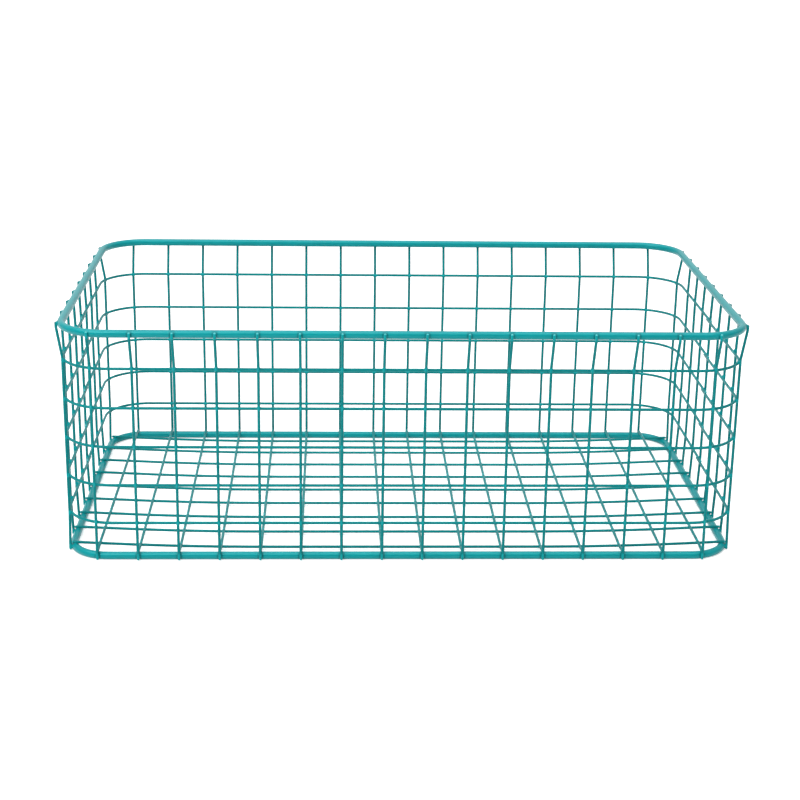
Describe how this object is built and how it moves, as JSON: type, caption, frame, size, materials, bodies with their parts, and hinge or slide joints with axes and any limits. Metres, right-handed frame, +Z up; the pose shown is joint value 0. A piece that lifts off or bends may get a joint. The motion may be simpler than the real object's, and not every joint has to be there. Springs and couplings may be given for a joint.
{
  "type": "wire storage basket",
  "caption": "Open-topped rectangular storage basket of welded steel wire mesh, with rounded corners, a thick rim rod and a thick base ring.",
  "frame": {"origin": "on the surface that the basket stands on, below the middle of the basket", "axes": "+X along the long sides, to the right seen from the front; +Y from the front to the back; +Z up"},
  "size_m": [0.4278, 0.2568, 0.1513],
  "materials": {
    "coated_rod": "glossy teal powder coat on steel rod",
    "coated_wire": "glossy teal powder coat on steel wire"
  },
  "bodies": {
    "root": {"rim": "coated_rod", "base_ring": "coated_rod", "floor_grid": "coated_wire", "hoop_1": "coated_wire", "hoop_2": "coated_wire", "hoop_3": "coated_wire", "hoop_4": "coated_wire", "hoop_5": "coated_wire", "front_upright_01": "coated_wire", "front_upright_02": "coated_wire", "front_upright_03": "coated_wire", "front_upright_04": "coated_wire", "front_upright_05": "coated_wire", "front_upright_06": "coated_wire", "front_upright_07": "coated_wire", "front_upright_08": "coated_wire", "front_upright_09": "coated_wire", "front_upright_10": "coated_wire", "front_upright_11": "coated_wire", "front_upright_12": "coated_wire", "front_upright_13": "coated_wire", "front_upright_14": "coated_wire", "front_upright_15": "coated_wire", "front_upright_16": "coated_wire", "back_upright_01": "coated_wire", "back_upright_02": "coated_wire", "back_upright_03": "coated_wire", "back_upright_04": "coated_wire", "back_upright_05": "coated_wire", "back_upright_06": "coated_wire", "back_upright_07": "coated_wire", "back_upright_08": "coated_wire", "back_upright_09": "coated_wire", "back_upright_10": "coated_wire", "back_upright_11": "coated_wire", "back_upright_12": "coated_wire", "back_upright_13": "coated_wire", "back_upright_14": "coated_wire", "back_upright_15": "coated_wire", "back_upright_16": "coated_wire", "left_upright_1": "coated_wire", "left_upright_2": "coated_wire", "left_upright_3": "coated_wire", "left_upright_4": "coated_wire", "left_upright_5": "coated_wire", "left_upright_6": "coated_wire", "left_upright_7": "coated_wire", "left_upright_8": "coated_wire", "left_upright_9": "coated_wire", "right_upright_1": "coated_wire", "right_upright_2": "coated_wire", "right_upright_3": "coated_wire", "right_upright_4": "coated_wire", "right_upright_5": "coated_wire", "right_upright_6": "coated_wire", "right_upright_7": "coated_wire", "right_upright_8": "coated_wire", "right_upright_9": "coated_wire"}
  },
  "joints": []
}
